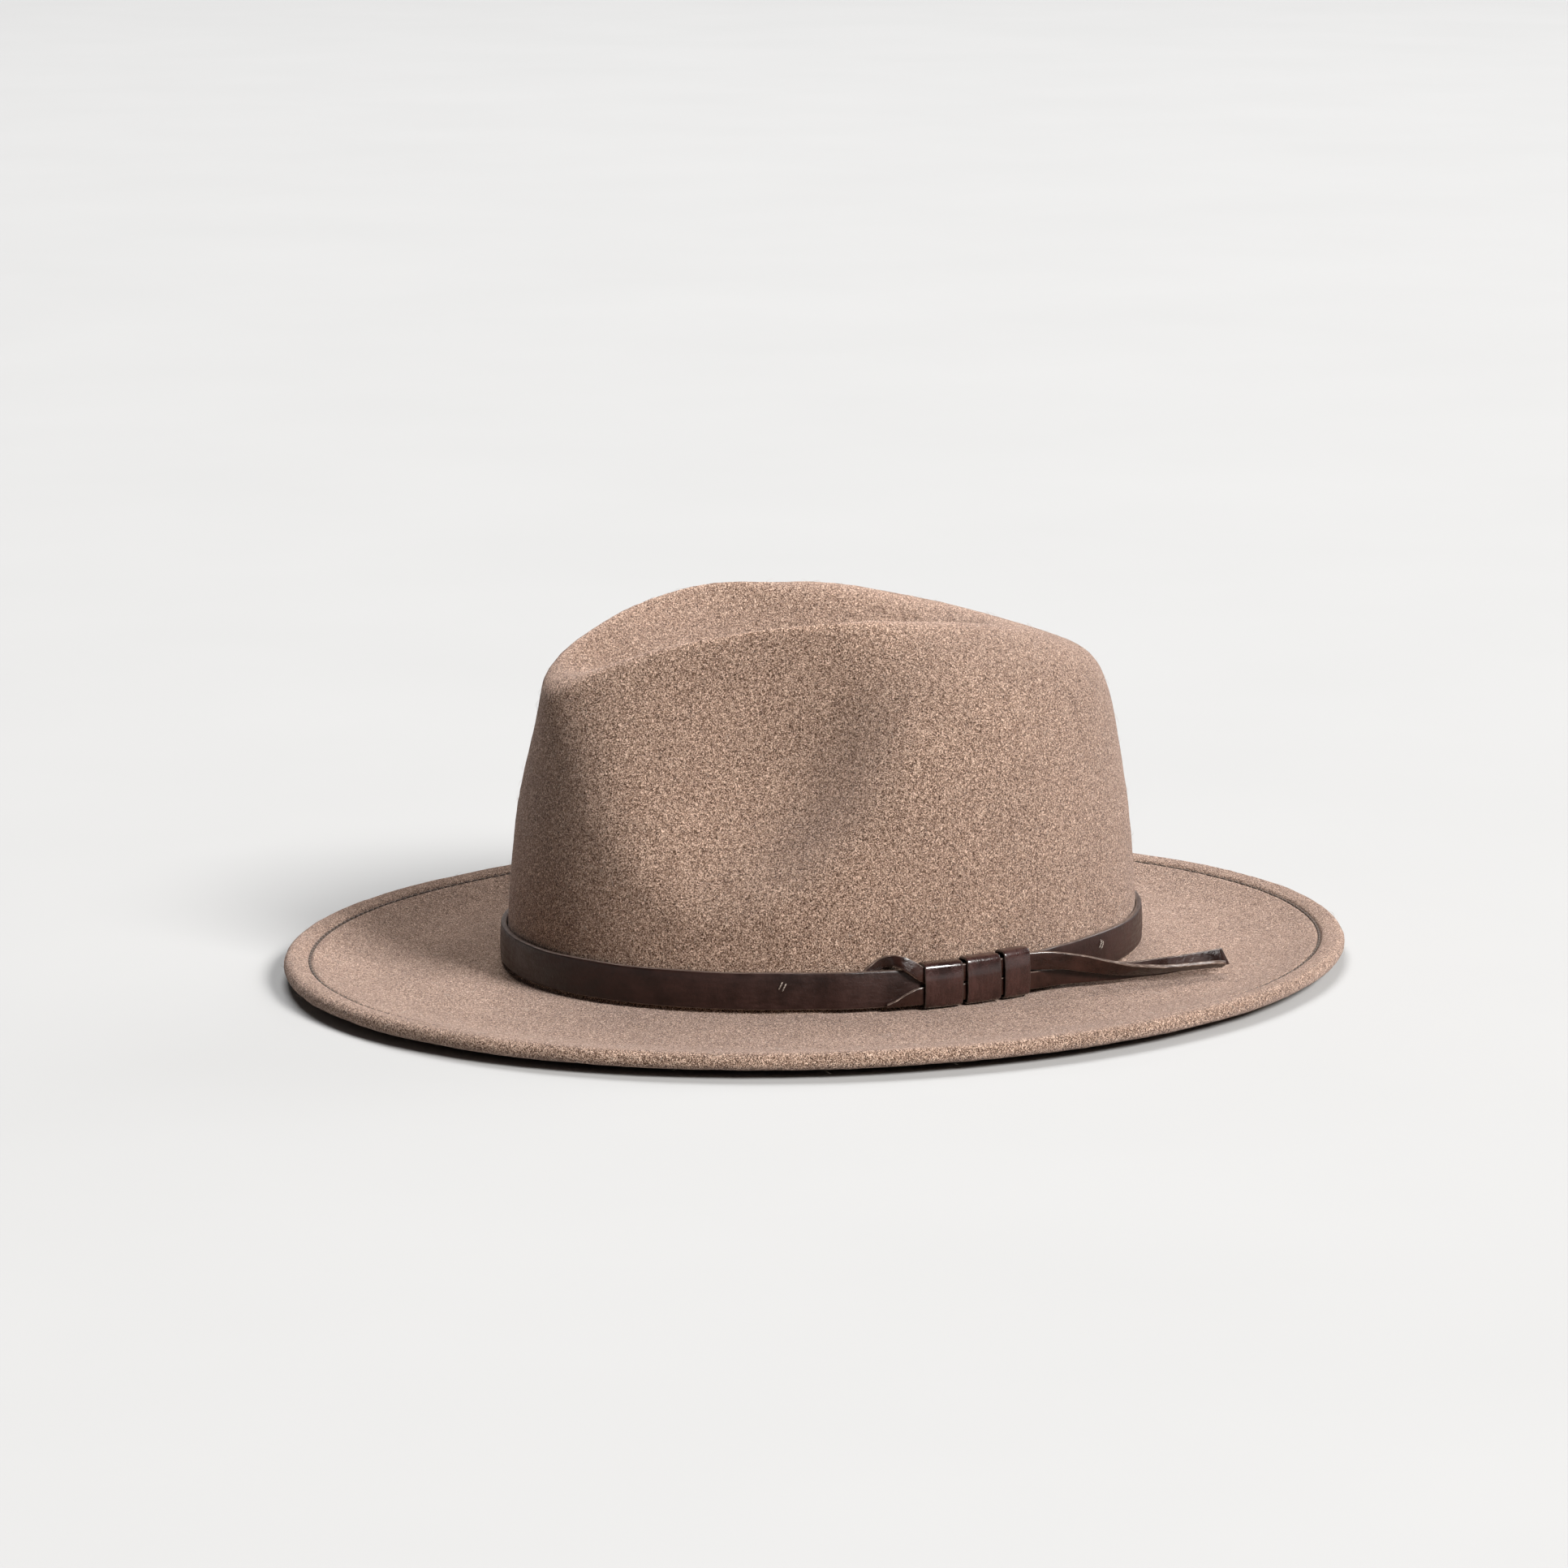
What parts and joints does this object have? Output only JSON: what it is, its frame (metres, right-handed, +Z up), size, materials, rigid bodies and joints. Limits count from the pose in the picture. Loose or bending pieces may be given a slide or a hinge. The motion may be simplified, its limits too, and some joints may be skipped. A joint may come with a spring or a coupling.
{
  "type": "fedora hat",
  "caption": "Wide-brim pinch-front fedora in wool felt, with a narrow leather hatband tied by a lace through keeper loops and a turned, stitched and wired brim edge.",
  "frame": {"origin": "middle of the hat's footprint, on the surface that the brim rests on", "axes": "+Z up through the crown; -Y is the front of the hat; +X is the wearer's left, where the lace knot is"},
  "size_m": [0.3072, 0.3504, 0.118],
  "materials": {
    "wool_felt": "matt brushed wool felt, taupe",
    "felt_thread": "spun sewing thread",
    "tack_thread": "spun sewing thread",
    "brim_wire_steel": "drawn wire",
    "dark_leather": "smooth dark brown, satin",
    "lace_leather": "smooth dark brown, satin, cut edges",
    "keeper_leather": "smooth dark brown, satin",
    "sweatband_cloth": "ribbed cotton band",
    "label_cloth": "plain woven label"
  },
  "bodies": {
    "root": {"felt_body": "wool_felt", "hem_thread": "felt_thread", "brim_wire": "brim_wire_steel", "wire_joiner": "brim_wire_steel", "band_strap": "dark_leather", "lace_upper": "lace_leather", "lace_lower": "lace_leather", "keeper_loop_1": "keeper_leather", "keeper_loop_2": "keeper_leather", "keeper_loop_3": "keeper_leather", "band_tack_front": "tack_thread", "band_tack_back": "tack_thread", "sweatband": "sweatband_cloth", "sweatband_thread": "felt_thread", "sweatband_tape": "sweatband_cloth", "size_label": "label_cloth"}
  },
  "joints": []
}
